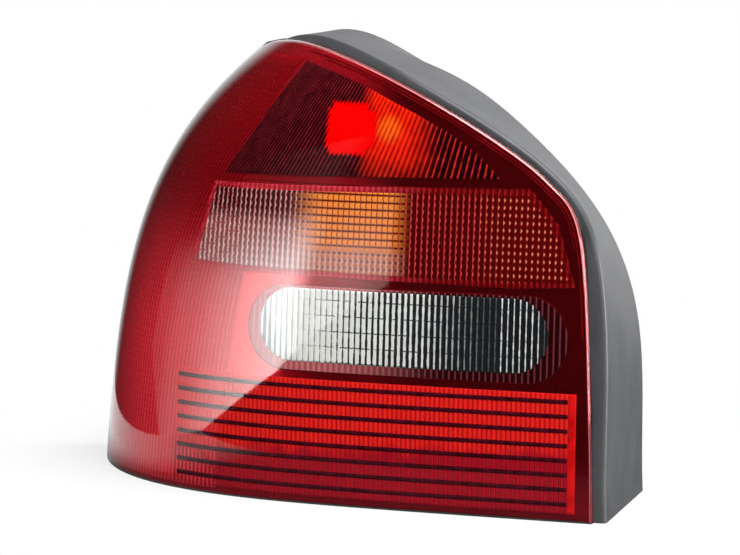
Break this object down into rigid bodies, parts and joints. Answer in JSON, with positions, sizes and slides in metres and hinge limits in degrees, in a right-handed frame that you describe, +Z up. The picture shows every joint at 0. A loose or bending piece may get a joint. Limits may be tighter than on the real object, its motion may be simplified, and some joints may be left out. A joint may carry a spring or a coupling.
{
  "type": "tail light cluster",
  "caption": "Wrap-round car tail light cluster: red lens with amber turn and clear reverse windows, grey housing, bulb carrier at the rear and threaded mounting studs.",
  "frame": {"origin": "middle of the lamp's overall box, at its foot", "axes": "+X towards the middle of the car, +Y forward into the body, +Z up"},
  "size_m": [0.3788, 0.175, 0.2826],
  "materials": {
    "housing_plastic": "satin moulded grey",
    "red_lens": "clear red, polished",
    "amber_lens": "rose amber, polished",
    "clear_lens": "clear, polished",
    "sealant": "matt black",
    "reflector_metal": "vacuum metallised",
    "zinc_steel": "zinc plated",
    "carrier_plastic": "natural white",
    "rubber_seal": "matt black",
    "foam_seal": "closed cell foam",
    "brass_strip": "stamped strip",
    "bulb_glass": "clear",
    "amber_glass": "amber",
    "bulb_cap": "nickel plated",
    "tungsten": "drawn wire"
  },
  "bodies": {
    "root": {"housing": "housing_plastic", "outer_lens": "red_lens", "turn_lens": "amber_lens", "reverse_lens": "clear_lens", "lens_sealant": "sealant", "reflector": "reflector_metal", "reflector_screws": "zinc_steel", "bulb_carrier": "carrier_plastic", "carrier_seal": "rubber_seal", "body_seal": "foam_seal", "ground_strip": "brass_strip", "connector_pins": "brass_strip", "mounting_studs": "zinc_steel", "vent_cap": "rubber_seal", "stop_strip": "brass_strip", "stop_bulb_glass": "bulb_glass", "stop_bulb_cap": "bulb_cap", "stop_bulb_filament": "tungsten", "turn_strip": "brass_strip", "turn_bulb_glass": "amber_glass", "turn_bulb_cap": "bulb_cap", "turn_bulb_filament": "tungsten", "reverse_strip": "brass_strip", "reverse_bulb_glass": "bulb_glass", "reverse_bulb_cap": "bulb_cap", "reverse_bulb_filament": "tungsten", "tail_strip": "brass_strip", "tail_bulb_glass": "bulb_glass", "tail_bulb_cap": "bulb_cap", "tail_bulb_filament": "tungsten"}
  },
  "joints": []
}
